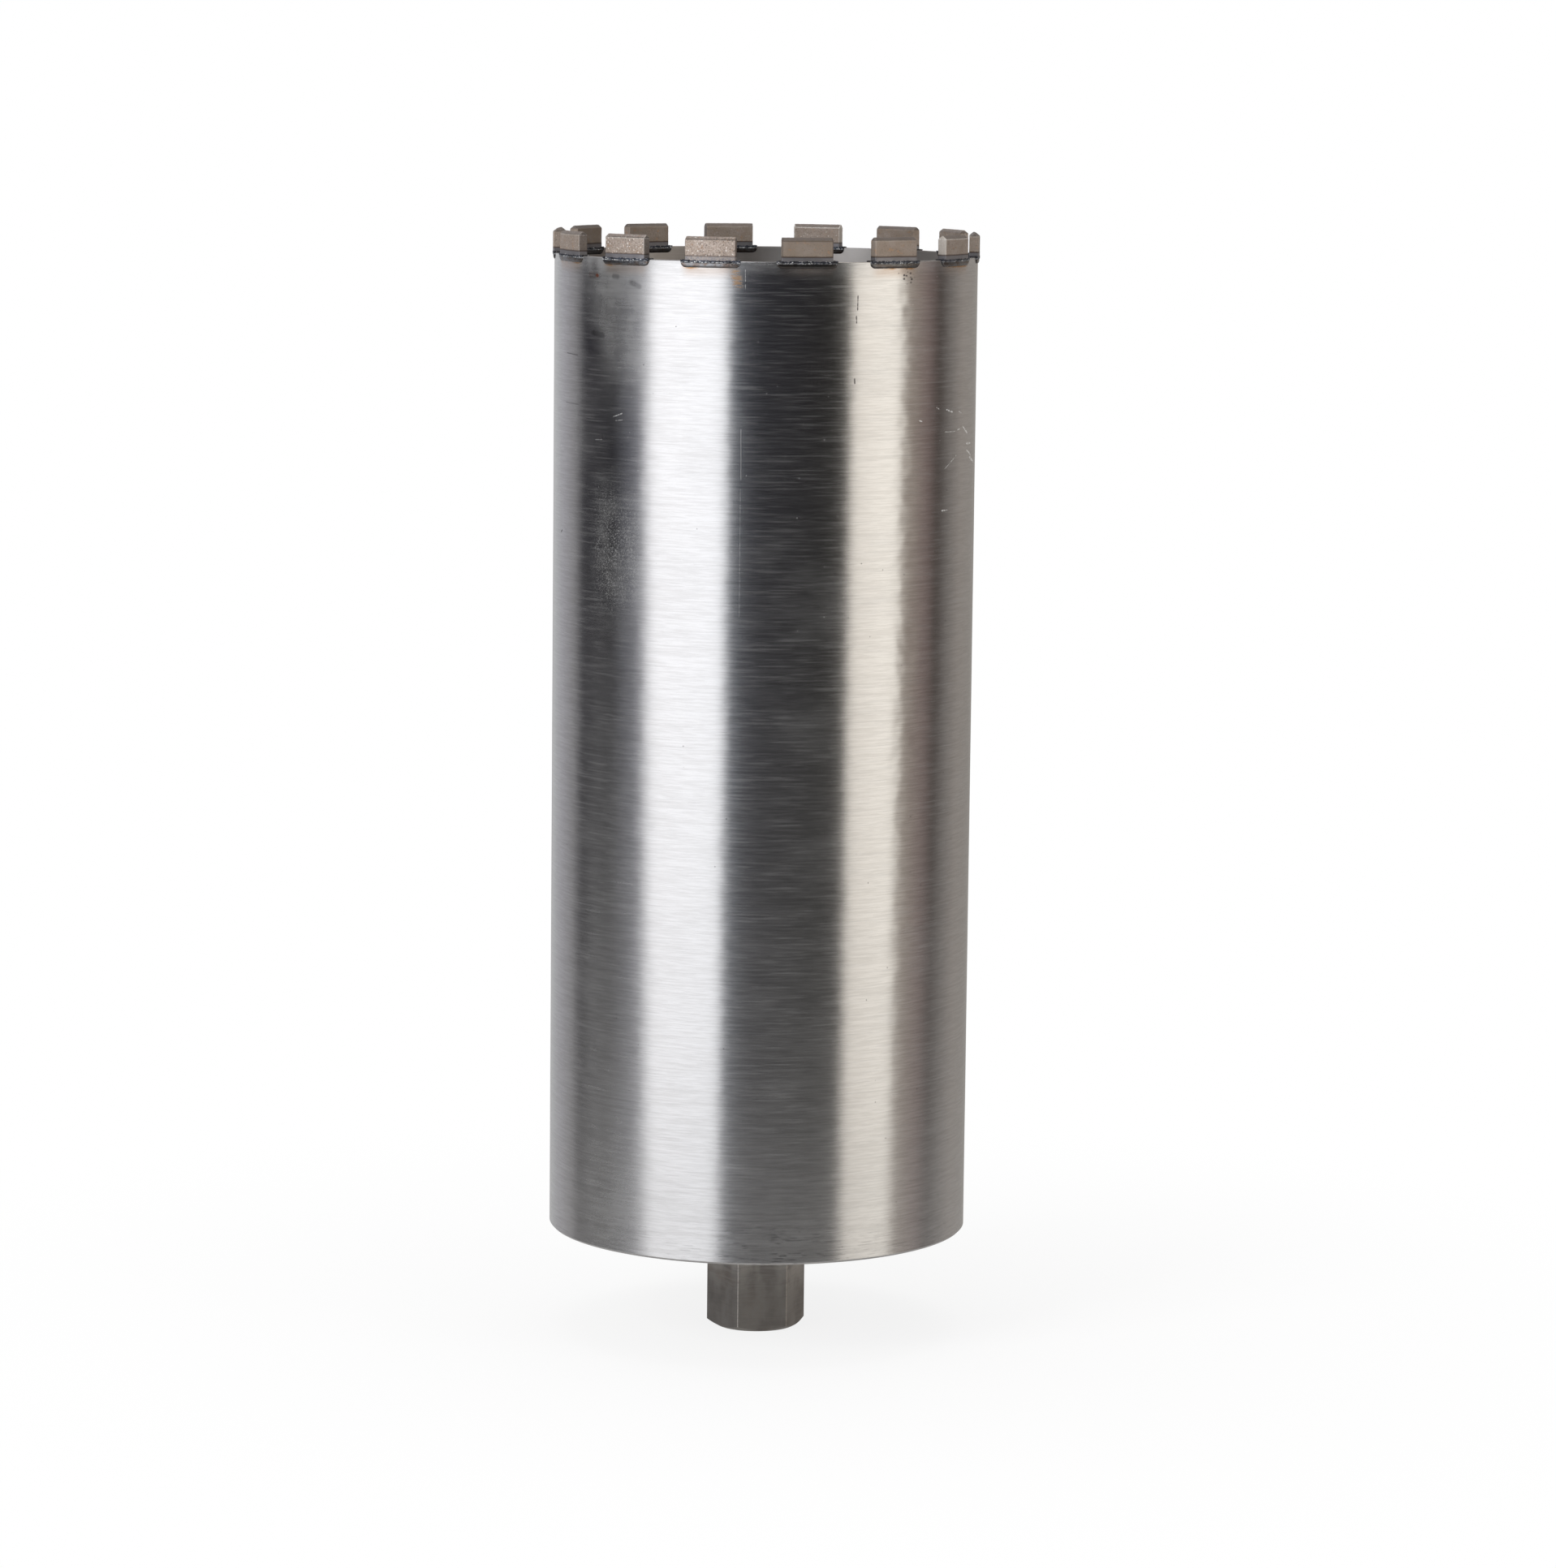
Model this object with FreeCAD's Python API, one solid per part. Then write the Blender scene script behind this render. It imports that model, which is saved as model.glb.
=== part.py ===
import FreeCAD, Part
import math
import os

# Wet core bit for drilling round holes in concrete: a thin steel barrel, closed at the foot by a
# welded plate that carries a hexagonal hub with a threaded bore, and crowned by a ring of
# diamond segments that are brazed on to the rim.
# The frame has +Z up, the hub's end face on Z = 0 and the bit's axis on Z.
# All sizes are in millimetres and all angles in degrees.

from FreeCAD import Vector

OUT_FOLDER = "parts"
AXIS = Vector(0, 0, 1)
ORIGIN = Vector(0, 0, 0)

# Barrel
cutting_diameter = 200.0
side_clearance = 0.8
barrel_wall = 2.8
barrel_length = 462.0
barrel_foot_chamfer = 1.0
rim_edge_break = 0.2

# Back plate, let into the foot of the barrel
plate_thickness = 8.0
plate_recess = 3.0
plate_edge_break = 0.6
weld_gap = 0.1

# Hub
hub_across_flats = 41.0
hub_stand_out = 50.0
hub_corner_round = 0.8
hub_face_margin = 1.5
hub_chamfer_angle = 30.0
hub_shoulder = 2.5
spigot_proud = 2.0
spigot_chamfer = 0.8
thread_minor_diameter = 28.2
thread_mouth_diameter = 32.4
hub_turn = 9.0

# Welds round the hub and inside the foot of the barrel
hub_weld_leg = 6.5
hub_weld_bulge = 0.7
foot_weld_leg = 2.6

# Diamond segments, spaced evenly round the rim
segment_count = 14
segment_length = 24.0
segment_thickness = 4.4
segment_height = 11.1
roof_angle = 38.0
ridge_width = 0.5
segment_edge_round = 0.35
first_segment_angle = -2.0

# Braze collar round the foot of each segment
braze_reach = 2.3
braze_drop = 3.0
braze_rise = 0.6
braze_skin = 0.1
braze_lip = 0.2
braze_bulge = 0.3
braze_corner = 2.6
braze_end_round = 0.4

# Places that follow from the sizes above
cutting_radius = cutting_diameter / 2
barrel_radius = cutting_radius - side_clearance
barrel_inner_radius = barrel_radius - barrel_wall
segment_inner_radius = cutting_radius - segment_thickness
barrel_foot_z = hub_stand_out
rim_z = barrel_foot_z + barrel_length
plate_under_z = barrel_foot_z + plate_recess
plate_top_z = plate_under_z + plate_thickness
spigot_radius = hub_across_flats / 2 - hub_shoulder
hub_top_z = plate_top_z + spigot_proud


def at(radius, z):
    """A point of a turned outline, in the half plane through the axis."""
    return Vector(radius, 0, z)


def bulged_edge(start, end, bulge, away_from):
    """An arc from start to end that stands bulge proud of the straight line between them."""
    middle = (start + end) * 0.5
    along = (end - start).normalize()
    out = along.cross(Vector(0, 1, 0))
    if out.dot(middle - away_from) < 0:
        out = out * -1
    return Part.Arc(start, middle + out * bulge, end).toShape()


def turned(edges, sweep=360.0):
    """The solid that an outline in the XZ half plane makes as it turns, centred on +X if not all round."""
    face = Part.Face(Part.Wire(edges))
    solid = face.revolve(ORIGIN, AXIS, sweep)
    if sweep < 360.0:
        solid.rotate(ORIGIN, AXIS, -sweep / 2)
    return solid


def closed_loop(points):
    """Straight edges through the points and back to the first."""
    return [Part.makeLine(a, b) for a, b in zip(points, points[1:] + points[:1])]


def barrel():
    """The tube: plain inside and out, its foot chamfered and its rim's sharp edges broken."""
    outline = [
        at(barrel_inner_radius, barrel_foot_z),
        at(barrel_radius - barrel_foot_chamfer, barrel_foot_z),
        at(barrel_radius, barrel_foot_z + barrel_foot_chamfer),
        at(barrel_radius, rim_z - rim_edge_break),
        at(barrel_radius - rim_edge_break, rim_z),
        at(barrel_inner_radius + rim_edge_break, rim_z),
        at(barrel_inner_radius, rim_z - rim_edge_break),
    ]
    return turned(closed_loop(outline))


def back_plate():
    """The disc in the barrel's foot, bored for the hub's spigot."""
    outer = barrel_inner_radius - weld_gap
    bore = spigot_radius + weld_gap
    outline = [
        at(bore, plate_under_z),
        at(outer, plate_under_z),
        at(outer, plate_top_z - plate_edge_break),
        at(outer - plate_edge_break, plate_top_z),
        at(bore + plate_edge_break, plate_top_z),
        at(bore, plate_top_z - plate_edge_break),
    ]
    return turned(closed_loop(outline))


def hexagon_bar(across_flats, bottom_z, top_z):
    """A hexagonal bar with lightly rounded corners."""
    corner_radius = across_flats / math.sqrt(3)
    corners = [
        Vector(
            corner_radius * math.cos(math.radians(60 * i)),
            corner_radius * math.sin(math.radians(60 * i)),
            bottom_z,
        )
        for i in range(6)
    ]
    bar = Part.Face(Part.Wire(closed_loop(corners))).extrude(AXIS * (top_z - bottom_z))
    upright = [e for e in bar.Edges if abs(e.tangentAt(e.FirstParameter).z) > 0.9]
    return bar.makeFillet(hub_corner_round, upright)


def hub():
    """Hexagonal hub, turned down to a spigot for the plate, chamfered and bored right through."""
    face_radius = hub_across_flats / 2 - hub_face_margin
    outside_radius = hub_across_flats
    chamfer_rise = (outside_radius - face_radius) * math.tan(math.radians(hub_chamfer_angle))
    turned_blank = turned(
        closed_loop(
            [
                at(0, 0),
                at(face_radius, 0),
                at(outside_radius, chamfer_rise),
                at(outside_radius, plate_under_z),
                at(0, plate_under_z),
            ]
        )
    )
    hexagon = hexagon_bar(hub_across_flats, 0, plate_under_z).common(turned_blank)
    spigot = turned(
        closed_loop(
            [
                at(0, plate_under_z),
                at(spigot_radius, plate_under_z),
                at(spigot_radius, hub_top_z - spigot_chamfer),
                at(spigot_radius - spigot_chamfer, hub_top_z),
                at(0, hub_top_z),
            ]
        )
    )
    return hexagon.fuse(spigot).removeSplitter().cut(hub_bore()).rotated(ORIGIN, AXIS, hub_turn)


def hub_bore():
    """The bore at the thread's minor diameter, opened at the mouth so that a spindle starts easily."""
    minor = thread_minor_diameter / 2
    mouth = thread_mouth_diameter / 2
    lead = mouth - minor
    return turned(
        closed_loop(
            [
                at(0, 0),
                at(mouth, 0),
                at(minor, lead),
                at(minor, hub_top_z),
                at(0, hub_top_z),
            ]
        )
    )


def hub_weld():
    """The fillet weld that runs round the hexagon under the plate."""
    root = at(spigot_radius, plate_under_z)
    toe = at(hub_across_flats / math.sqrt(3) + hub_weld_leg, plate_under_z)
    foot = at(spigot_radius, plate_under_z - hub_weld_leg - hub_shoulder)
    outline = [
        Part.makeLine(root, toe),
        bulged_edge(toe, foot, hub_weld_bulge, root),
        Part.makeLine(foot, root),
    ]
    return turned(outline).cut(hub())


def foot_weld():
    """The flat-faced weld in the corner between the plate's underside and the barrel."""
    outline = [
        at(barrel_inner_radius, plate_under_z),
        at(barrel_inner_radius - foot_weld_leg, plate_under_z),
        at(barrel_inner_radius, plate_under_z - foot_weld_leg),
    ]
    return turned(closed_loop(outline))


def segment():
    """One segment on +X: a curved block with a roof-shaped top, its edges slightly rounded."""
    ridge_z = rim_z + segment_height
    middle_radius = (cutting_radius + segment_inner_radius) / 2
    roof_width = (segment_thickness - ridge_width) / 2
    eaves_z = ridge_z - roof_width * math.tan(math.radians(roof_angle))
    outline = [
        at(segment_inner_radius, rim_z),
        at(cutting_radius, rim_z),
        at(cutting_radius, eaves_z),
        at(middle_radius + ridge_width / 2, ridge_z),
        at(middle_radius - ridge_width / 2, ridge_z),
        at(segment_inner_radius, eaves_z),
    ]
    block = turned(closed_loop(outline), math.degrees(segment_length / cutting_radius))
    round_off = min(segment_edge_round, ridge_width * 0.6)
    raised = [e for e in block.Edges if e.BoundBox.ZMax > rim_z + round_off]
    ends = [e for e in raised if e.BoundBox.YLength < segment_length / 2]
    return block.makeFillet(round_off, ends)


def collar_window():
    """The collar as seen along the radius: square at the top and well rounded at its lower corners."""
    half = segment_length / 2 + braze_reach
    low = rim_z - braze_drop
    high = rim_z + braze_rise
    lower = min(braze_corner, braze_drop)
    upper = min(braze_end_round, braze_rise)
    diagonal = math.sqrt(0.5)
    near = segment_inner_radius - segment_thickness
    far = cutting_radius + segment_thickness

    def corner(y_centre, z_centre, radius, start, end):
        centre = Vector(near, y_centre, z_centre)
        middle = Vector(0, start.y + end.y, start.z + end.z) * (radius * diagonal)
        return Part.Arc(centre + start * radius, centre + middle, centre + end * radius).toShape()

    left, right = Vector(0, -1, 0), Vector(0, 1, 0)
    down, up = Vector(0, 0, -1), AXIS
    corners = [
        corner(-half + lower, low + lower, lower, left, down),
        corner(half - lower, low + lower, lower, down, right),
        corner(half - upper, high - upper, upper, right, up),
        corner(-half + upper, high - upper, upper, up, left),
    ]
    edges = []
    for this, following in zip(corners, corners[1:] + corners[:1]):
        edges.append(this)
        start = this.Vertexes[-1].Point
        end = following.Vertexes[0].Point
        if (end - start).Length > 1e-6:
            edges.append(Part.makeLine(start, end))
    return Part.Face(Part.Wire(edges)).extrude(Vector(far - near, 0, 0))


def braze_collar(tube, block):
    """The braze that stands round a segment's foot, on the rim and on both walls of the barrel."""
    high = rim_z + braze_rise
    low = rim_z - braze_drop
    middle = at((barrel_radius + barrel_inner_radius) / 2, rim_z)
    outer_top = at(cutting_radius + braze_skin, high)
    outer_low = at(barrel_radius + braze_lip, low)
    inner_top = at(segment_inner_radius - braze_skin, high)
    inner_low = at(barrel_inner_radius - braze_lip, low)
    outline = [
        Part.makeLine(inner_top, outer_top),
        bulged_edge(outer_top, outer_low, braze_bulge, middle),
        Part.makeLine(outer_low, inner_low),
        bulged_edge(inner_low, inner_top, braze_bulge, middle),
    ]
    half_ring = turned(outline, 180.0)
    return half_ring.common(collar_window()).cut(tube).cut(block)


def check_sound(name, shape):
    """Stops the build if a piece isn't a sound closed solid."""
    if not shape.Solids or not shape.isValid() or shape.Volume <= 0:
        raise ValueError(name + " isn't a sound solid")


def main():
    tube = barrel()
    first_segment = segment()
    first_collar = braze_collar(tube, first_segment)
    pieces = {
        "barrel": tube,
        "back_plate": back_plate(),
        "hub": hub(),
        "hub_weld": hub_weld(),
        "foot_weld": foot_weld(),
    }
    for i in range(segment_count):
        turn = first_segment_angle + 360.0 * i / segment_count
        pieces[f"segment_{i + 1:02d}"] = first_segment.rotated(ORIGIN, AXIS, turn)
        pieces[f"braze_collar_{i + 1:02d}"] = first_collar.rotated(ORIGIN, AXIS, turn)
    os.makedirs(OUT_FOLDER, exist_ok=True)
    for name, shape in pieces.items():
        check_sound(name, shape)
        shape.exportStep(os.path.join(OUT_FOLDER, name + ".step"))


main()
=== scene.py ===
import math

import bmesh
import bpy
from mathutils import Matrix, Vector, noise


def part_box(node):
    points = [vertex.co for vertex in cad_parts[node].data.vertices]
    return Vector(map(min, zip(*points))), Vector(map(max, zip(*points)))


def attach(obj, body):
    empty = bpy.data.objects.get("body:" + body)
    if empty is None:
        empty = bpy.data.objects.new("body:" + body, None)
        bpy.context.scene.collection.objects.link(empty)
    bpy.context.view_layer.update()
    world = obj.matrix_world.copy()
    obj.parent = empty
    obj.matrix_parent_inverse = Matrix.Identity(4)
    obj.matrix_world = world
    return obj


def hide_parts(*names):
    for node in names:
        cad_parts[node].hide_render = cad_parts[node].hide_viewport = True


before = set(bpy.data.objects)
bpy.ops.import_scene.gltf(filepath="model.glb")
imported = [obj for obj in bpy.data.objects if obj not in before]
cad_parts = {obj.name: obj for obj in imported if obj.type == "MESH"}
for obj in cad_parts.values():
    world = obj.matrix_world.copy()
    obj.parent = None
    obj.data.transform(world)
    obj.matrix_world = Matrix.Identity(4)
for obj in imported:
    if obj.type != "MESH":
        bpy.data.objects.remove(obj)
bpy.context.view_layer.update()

# Barrel: a drawn steel tube, cut to length, chamfered at its foot and dressed at its rim.
# It was brushed round and round, so fine lines run about it, and it carries the stains,
# specks and scratches of the workshop. Inside it keeps the duller skin of the drawn tube.
barrel_low, barrel_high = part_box("barrel")
barrel_radius = barrel_high.x
barrel_wall = 0.0028
barrel_bore = barrel_radius - barrel_wall
foot_z = barrel_low.z
rim_z = barrel_high.z
foot_chamfer = 0.001
rim_break = 0.0002
wall_row_height = 0.004
wall_waviness = 0.00003
wave_length = 0.045
barrel_steps = 256


def doubled(bm, movement):
    """Adds a moved copy of everything in the bmesh and joins the two where they meet."""
    copied = bmesh.ops.duplicate(bm, geom=bm.verts[:] + bm.edges[:] + bm.faces[:])["geom"]
    fresh = [part for part in copied if isinstance(part, bmesh.types.BMVert)]
    bmesh.ops.transform(bm, matrix=movement, verts=fresh)
    bmesh.ops.remove_doubles(bm, verts=bm.verts, dist=1e-6)


def turned_bmesh(outline, steps, closed=True):
    """What a line or loop of (radius, height) points makes as it turns on the bit's axis."""
    bm = bmesh.new()
    points = [bm.verts.new((radius, 0, z)) for radius, z in outline]
    following = points[1:] + points[:1] if closed else points[1:]
    edges = [bm.edges.new(pair) for pair in zip(points, following)]
    eighth = math.pi / 4
    bmesh.ops.spin(
        bm,
        geom=points + edges,
        cent=(0, 0, 0),
        axis=(0, 0, 1),
        angle=eighth,
        steps=steps // 8,
    )
    for angle in (eighth, 2 * eighth, 4 * eighth):
        doubled(bm, Matrix.Rotation(angle, 4, "Z"))
    bmesh.ops.recalc_face_normals(bm, faces=bm.faces)
    return bm


def new_piece(name, bm, finishes, sharp_degrees=30):
    """A smooth-shaded object from a bmesh, with its real edges kept sharp."""
    mesh = bpy.data.meshes.new(name)
    bm.to_mesh(mesh)
    bm.free()
    mesh.shade_smooth()
    mesh.set_sharp_from_angle(angle=math.radians(sharp_degrees))
    for finish in finishes:
        mesh.materials.append(finish.material)
    piece = bpy.data.objects.new(name, mesh)
    bpy.context.scene.collection.objects.link(piece)
    return piece


def rows_between(low, high, height):
    """Evenly spaced heights from low to high, ends included, about height apart."""
    count = max(1, round(abs(high - low) / height))
    return [low + (high - low) * i / count for i in range(count + 1)]


class Field:
    """A value or colour that varies over a surface: one output among a finish's nodes."""

    def __init__(self, finish, output):
        self.finish = finish
        self.output = output

    def math(self, operation, *others):
        return self.finish.calculate(operation, self, *others)

    def __add__(self, other):
        return self.math("ADD", other)

    def __sub__(self, other):
        return self.math("SUBTRACT", other)

    def __rsub__(self, other):
        return self.finish.calculate("SUBTRACT", other, self)

    def __mul__(self, other):
        return self.math("MULTIPLY", other)

    __radd__ = __add__
    __rmul__ = __mul__

    def limited(self):
        """The value held between 0 and 1."""
        held = self.math("ADD", 0)
        held.output.node.use_clamp = True
        return held

    def rise(self, start, end):
        """0 up to start and 1 from end on, with a smooth step between. The end may be the lower one."""
        node = self.finish.nodes.new("ShaderNodeMapRange")
        node.interpolation_type = "SMOOTHSTEP"
        self.finish.feed(node.inputs["Value"], self)
        node.inputs["From Min"].default_value = start
        node.inputs["From Max"].default_value = end
        return Field(self.finish, node.outputs["Result"])

    def bump_at(self, centre, half_width):
        """1 at centre, falling smoothly to 0 at half_width to either side."""
        return (self - centre).math("ABSOLUTE").rise(half_width, 0)


class Finish:
    """A material whose colour, gloss and relief are worked out from the place on the object."""

    def __init__(self, name, **constants):
        self.material = bpy.data.materials.new(name)
        self.material.use_nodes = True
        self.nodes = self.material.node_tree.nodes
        self.links = self.material.node_tree.links
        self.shader = self.nodes["Principled BSDF"]
        self.place = Field(self, self.nodes.new("ShaderNodeTexCoord").outputs["Object"])
        split = self.nodes.new("ShaderNodeSeparateXYZ")
        self.feed(split.inputs[0], self.place)
        self.x, self.y, self.z = [Field(self, output) for output in split.outputs]
        for socket, value in constants.items():
            self.set(socket.replace("_", " "), value)

    def feed(self, socket, value):
        if isinstance(value, Field):
            self.links.new(value.output, socket)
        elif isinstance(value, tuple) and socket.type == "RGBA":
            socket.default_value = (*value, 1)
        else:
            socket.default_value = value

    def set(self, socket_name, value):
        self.feed(self.shader.inputs[socket_name], value)

    def calculate(self, operation, *values):
        node = self.nodes.new("ShaderNodeMath")
        node.operation = operation
        for socket, value in zip(node.inputs, values):
            self.feed(socket, value)
        return Field(self, node.outputs[0])

    def joined(self, x, y, z):
        """One vector from three values."""
        node = self.nodes.new("ShaderNodeCombineXYZ")
        for socket, value in zip(node.inputs, (x, y, z)):
            self.feed(socket, value)
        return Field(self, node.outputs[0])

    def vectors(self, operation, *values, output=0):
        node = self.nodes.new("ShaderNodeVectorMath")
        node.operation = operation
        for socket, value in zip(node.inputs, values):
            self.feed(socket, value)
        return Field(self, node.outputs[output])

    def mapped(self, size, start=(0, 0, 0), place=None):
        """The place, moved to start and divided by a pattern's size along each axis."""
        node = self.nodes.new("ShaderNodeMapping")
        self.feed(node.inputs["Vector"], place or self.place)
        node.inputs["Location"].default_value = start
        node.inputs["Scale"].default_value = [1 / length for length in size]
        return Field(self, node.outputs["Vector"])

    def clouds(self, size, start=(0, 0, 0), detail=2, roughness=0.5, place=None):
        """Smooth random patches about as large as size, from 0 to 1."""
        node = self.nodes.new("ShaderNodeTexNoise")
        self.feed(node.inputs["Vector"], self.mapped(size, start, place))
        node.inputs["Scale"].default_value = 1
        node.inputs["Detail"].default_value = detail
        node.inputs["Roughness"].default_value = roughness
        return Field(self, node.outputs[0])

    def grains(self, size, start=(0, 0, 0)):
        """Cells about as large as size: the distance from each cell's centre, and its own random value."""
        node = self.nodes.new("ShaderNodeTexVoronoi")
        self.feed(node.inputs["Vector"], self.mapped(size, start))
        node.inputs["Scale"].default_value = 1
        lottery = self.nodes.new("ShaderNodeSeparateColor")
        self.links.new(node.outputs["Color"], lottery.inputs[0])
        return Field(self, node.outputs["Distance"]), Field(self, lottery.outputs[0])

    def lined(self, length, height, start=0):
        """Level lines about length long and height tall, each with its own run of values from 0 to 1."""
        line = (self.z * (1 / height)).math("FLOOR")
        on_line = self.joined(self.x, self.y, line)
        line_step = 0.137
        return self.clouds((length, length, line_step), (start, start, 0), detail=2, place=on_line)

    def mixed(self, share, first, second):
        """The first colour where share is 0 and the second where it is 1."""
        node = self.nodes.new("ShaderNodeMix")
        node.data_type = "RGBA"
        self.feed(node.inputs[0], share)
        self.feed(node.inputs[6], first)
        self.feed(node.inputs[7], second)
        return Field(self, node.outputs[2])

    def relief(self, height, depth):
        """Raises the surface by height, from 0 to 1, times depth in metres."""
        node = self.nodes.new("ShaderNodeBump")
        self.feed(node.inputs["Height"], height)
        node.inputs["Distance"].default_value = depth
        node.inputs["Strength"].default_value = 1
        before = self.shader.inputs["Normal"].links
        if before:
            self.links.new(before[0].from_socket, node.inputs["Normal"])
        self.links.new(node.outputs["Normal"], self.shader.inputs["Normal"])

    def brushed_round(self, stretch):
        """Spreads highlights across brush lines that run round the bit's axis."""
        self.feed(self.shader.inputs["Tangent"], self.joined(0 - self.y, self.x, 0))
        self.shader.inputs["Anisotropic"].default_value = stretch
        self.shader.inputs["Anisotropic Rotation"].default_value = 0.25


steel = Finish("brushed_barrel_steel", Metallic=1.0)
steel.brushed_round(0.75)

# Where a mark lies: arc is the way round the barrel from the front, and up is the height.
arc = steel.calculate("ARCTAN2", steel.x, 0 - steel.y) * barrel_radius
wall_place = steel.joined(arc, steel.z, 0)

# The brushing: short fine hairlines among longer strokes, over slow passes of the belt. Oil
# lies in some of the lines, and the wall has shallow dents.
hairlines = steel.lined(0.008, 0.00035)
strokes = steel.lined(0.030, 0.0008, start=3)
oily_lines = steel.lined(0.024, 0.0006, start=8).rise(0.50, 0.72)
passes = steel.clouds((0.25, 0.25, 0.012), start=(7, 5, 3), detail=2)
brushing = hairlines * 0.5 + strokes * 0.5
dents = steel.clouds((0.013, 0.013, 0.011), start=(2, 7, 7), detail=1)

# A thin dull film: oil and dust all over, thicker under the rim, a haze high on the left,
# a dusty patch below it, and more dust along the left and all round towards the foot.
mottling = steel.clouds((0.014, 0.014, 0.017), start=(2, 9, 4), detail=4, roughness=0.55)
dust = steel.clouds((0.0008, 0.0008, 0.0007), start=(5, 2, 8), detail=3, roughness=0.7)
under_rim = steel.z.rise(rim_z - 0.009, rim_z)
haze_edge = arc + (steel.z - rim_z) * 0.45
haze = haze_edge.rise(-0.114, -0.084) * arc.rise(-0.050, -0.064) * steel.z.rise(0.436, 0.472)
left_dust = arc.rise(-0.104, -0.086) * arc.rise(-0.046, -0.066) * steel.z.rise(0.47, 0.10)
near_foot = steel.z.rise(foot_z + 0.030, foot_z + 0.003)
dusty_patch = arc.rise(-0.096, -0.080) * arc.rise(-0.052, -0.066) * steel.z.bump_at(0.378, 0.046)
film = (
    passes * 0.01
    + oily_lines * 0.06
    + under_rim * mottling.rise(0.25, 0.6) * 0.12
    + haze * (0.12 + mottling.rise(0.30, 0.70) * 0.17)
    + dusty_patch * (dust.rise(0.50, 0.70) * 0.35 + mottling.rise(0.40, 0.7) * 0.08)
    + left_dust * (0.05 + mottling * 0.10)
    + steel.z.rise(0.15, foot_z) * (0.03 + mottling * 0.04)
    + steel.clouds((0.05, 0.05, 0.03), start=(1, 6, 2), detail=4).rise(0.5, 0.75) * 0.04
)

# Specks: short upright dashes painted near-white as glints of light, a few dark pits, soot blown
# under one collar, and thin level dashes of dirt near the foot.
speck_shape, speck_lottery = steel.grains((0.0008, 0.0008, 0.0017), start=(1, 4, 1))
speck_crowd = steel.clouds((0.010, 0.010, 0.040), start=(4, 4, 0), detail=2).rise(0.42, 0.7)
speck_crowd = speck_crowd * (steel.z.rise(0.22, 0.42) * 0.75 + 0.25)
speck_glints = speck_lottery.rise(0.90, 0.99) * speck_shape.rise(0.26, 0.12) * speck_crowd
pit_shape, pit_lottery = steel.grains((0.005, 0.005, 0.007), start=(0, 2, 6))
pits = pit_lottery.rise(0.80, 0.84) * pit_shape.rise(0.055, 0.030)
soot_shape, soot_lottery = steel.grains((0.0017, 0.0017, 0.0014), start=(3, 3, 7))
soot_spots = soot_lottery.rise(0.50, 0.56) * soot_shape.rise(0.50, 0.30)
dashes = steel.lined(0.0080, 0.0006, start=5).rise(0.54, 0.66) * near_foot * mottling.rise(0.34, 0.50)
dashes = dashes * (0.15 + arc.bump_at(0.010, 0.040) * 0.35)


def stroke(start, end, width):
    """A straight mark between two places on the wall, given as (arc, height) in millimetres."""
    first = Vector((*start, 0)) / 1000
    run = Vector((*end, 0)) / 1000 - first
    away = steel.vectors("SUBTRACT", wall_place, tuple(first))
    share = steel.vectors("DOT_PRODUCT", away, tuple(run / run.length_squared), output=1).limited()
    along = steel.vectors("MULTIPLY", steel.joined(share, share, share), tuple(run))
    distance = steel.vectors("DISTANCE", away, along, output=1)
    return distance.rise(width / 1000, width / 3000)


# Scratches with a painted highlight where they catch the light: upright hairlines in front,
# many short scuffs on the right and three faint ones on the left.
torn = steel.clouds((0.0010, 0.0010, 0.0008), start=(6, 1, 5), detail=3).rise(0.36, 0.56)
upright_scratches = (
    stroke((-9.4, 508.5), (-9.3, 499.5), 0.15) * torn
    + stroke((-10.7, 436.5), (-10.5, 413.5), 0.12) * 0.6
    + stroke((-10.7, 409), (-10.7, 351), 0.12) * 0.3
)
scuff = (
    stroke((99.9, 443.2), (105.5, 442.0), 0.55)
    + stroke((118.0, 434.6), (124.6, 431.0), 0.65)
    + stroke((123.4, 426.4), (130.6, 426.0), 0.60)
    + stroke((124.2, 423.2), (131.0, 420.6), 0.70)
    + stroke((129.5, 419.6), (137.9, 417.0), 0.80)
    + stroke((98.6, 415.8), (110.0, 421.6), 0.40) * 0.6
    + stroke((98.8, 433.0), (108.8, 432.8), 0.35) * 0.6
    + stroke((111.5, 433.4), (113.6, 433.7), 0.40)
    + stroke((112.8, 441.8), (115.4, 441.0), 0.35)
    + stroke((97.0, 396.8), (101.6, 396.7), 0.45)
    + stroke((79.0, 439.2), (80.6, 438.8), 0.45)
    + stroke((91.6, 444.6), (93.6, 444.0), 0.45)
    + stroke((-76.5, 439.7), (-71.2, 441.4), 0.35) * 0.7
    + stroke((-75.0, 438.0), (-70.6, 438.4), 0.30) * 0.5
    + stroke((-89.0, 428.4), (-84.4, 428.8), 0.25) * 0.4
)
# The scratches and specks are painted near-white and dull: a painted highlight on real marks.
scratch_glints = (upright_scratches * 0.7 + scuff * torn * 0.85 + speck_glints * 0.3).limited()

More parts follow.
